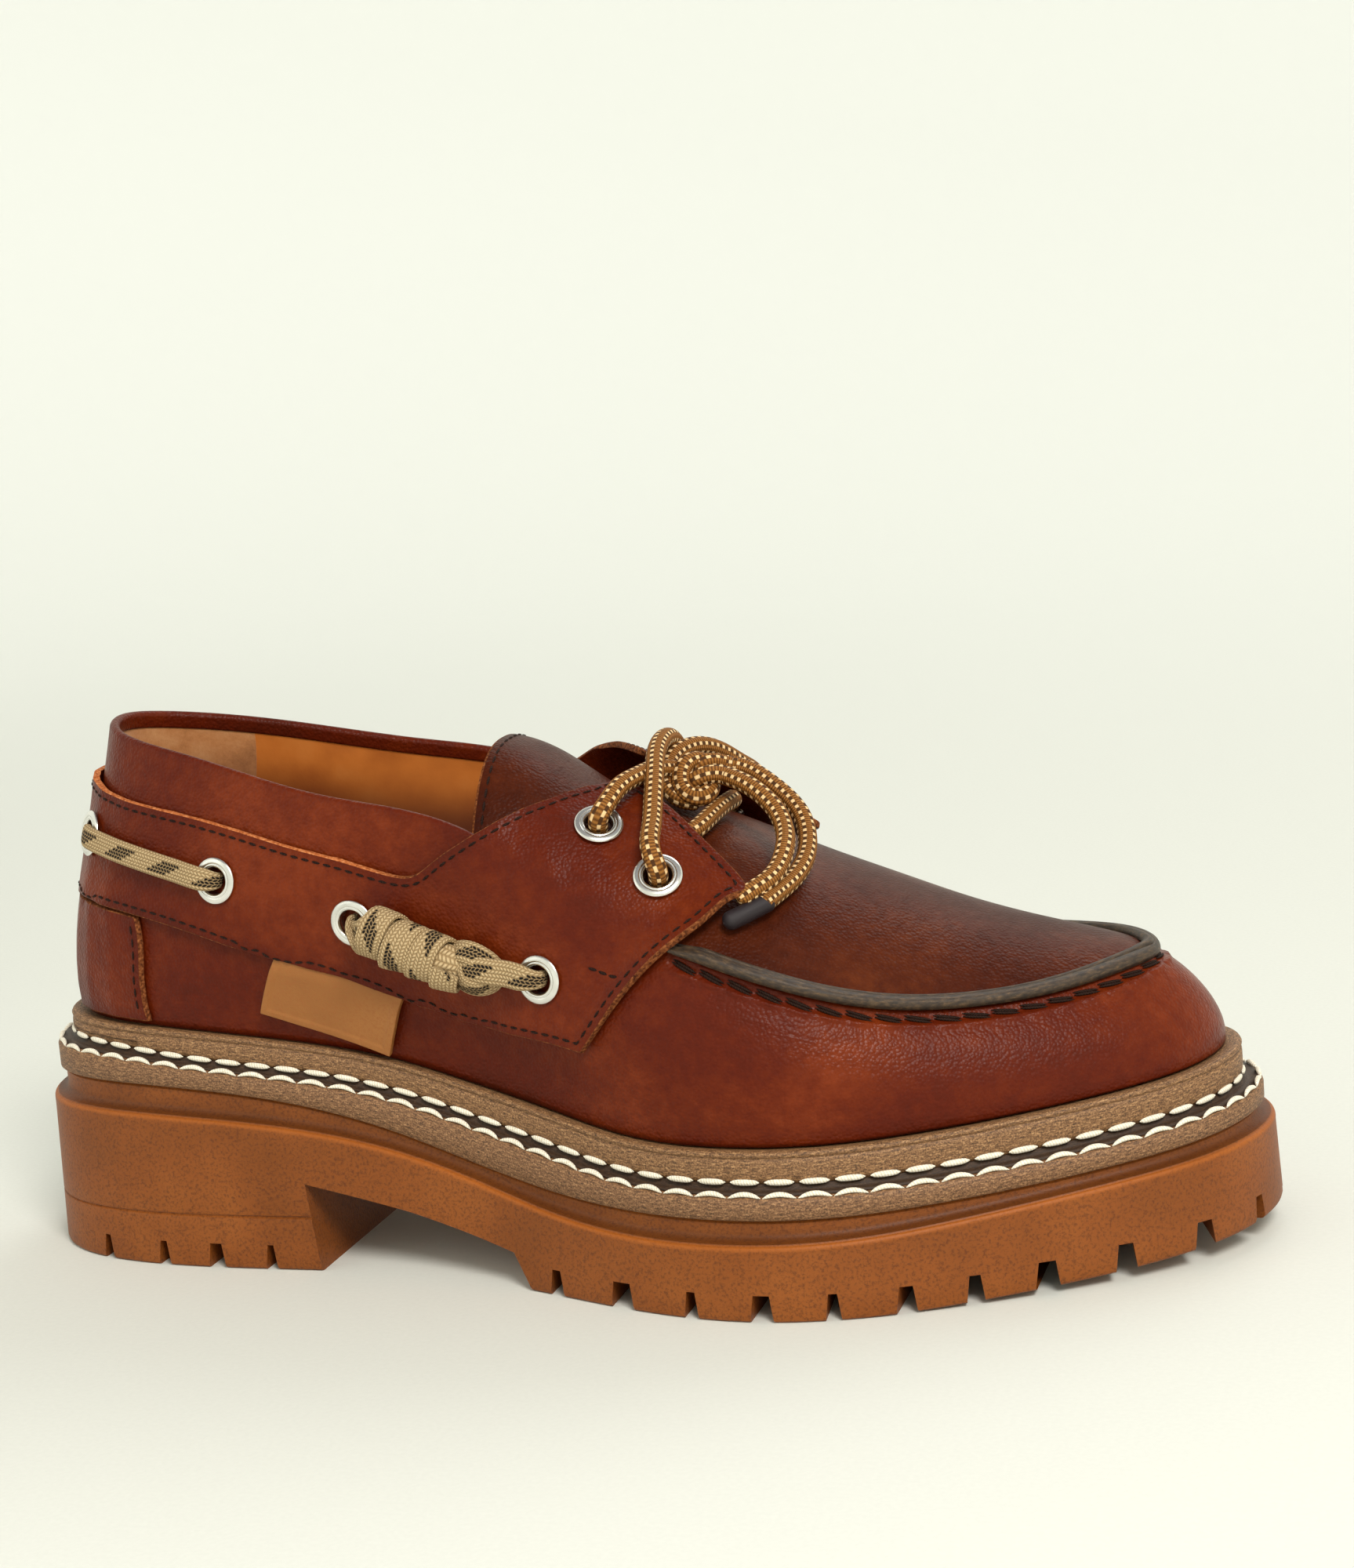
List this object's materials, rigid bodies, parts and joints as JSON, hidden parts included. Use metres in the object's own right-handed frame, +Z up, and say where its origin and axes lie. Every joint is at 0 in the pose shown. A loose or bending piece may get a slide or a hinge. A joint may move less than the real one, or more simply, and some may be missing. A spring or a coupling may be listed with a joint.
{
  "type": "loafer",
  "caption": "Right-foot leather boat-style loafer with laced side bands and a loose front lace, on a welted platform sole with a separate heel block and lugged tread.",
  "frame": {"origin": "middle of the shoe's footprint, on the floor", "axes": "+X towards the toe, +Y towards the big-toe (inner) side, +Z up"},
  "size_m": [0.2853, 0.1097, 0.1225],
  "materials": {
    "gum_rubber": "matt gum rubber, finely speckled",
    "tab_rubber": "smooth gum-tan rubber, bare",
    "stacked_board": "stacked leather board, matt, speckled",
    "lining": "smooth tan lining leather",
    "brown_leather": "red-brown pull-up leather, satin",
    "dark_leather": "dark brown pull-up leather, satin",
    "nickel": "bright nickel",
    "tan_lace": "flat tan braid with dark ticks",
    "brown_lace": "round brown braid with pale dots",
    "aglet": "dark shrunk sleeve"
  },
  "bodies": {
    "root": {"outsole": "gum_rubber", "midsole": "stacked_board", "storm_welt": "stacked_board", "insole": "lining", "upper": "brown_leather", "tongue": "dark_leather", "side_band": "brown_leather", "heel_counter": "brown_leather", "side_tab": "tab_rubber", "apron_seam": "dark_leather", "eyelet_l1": "nickel", "eyelet_l2": "nickel", "eyelet_l3": "nickel", "eyelet_l4": "nickel", "eyelet_l5": "nickel", "eyelet_l6": "nickel", "eyelet_m1": "nickel", "eyelet_m2": "nickel", "eyelet_m3": "nickel", "eyelet_m4": "nickel", "eyelet_m5": "nickel", "eyelet_m6": "nickel", "side_lace_rear_l": "tan_lace", "side_lace_rear_m": "tan_lace", "side_lace_knotted_l": "tan_lace", "side_lace_knotted_m": "tan_lace", "front_lace_crossings": "brown_lace", "front_lace_knot": "brown_lace", "front_lace_end_outer": "brown_lace", "front_lace_end_inner": "brown_lace", "front_lace_aglet": "aglet"}
  },
  "joints": []
}
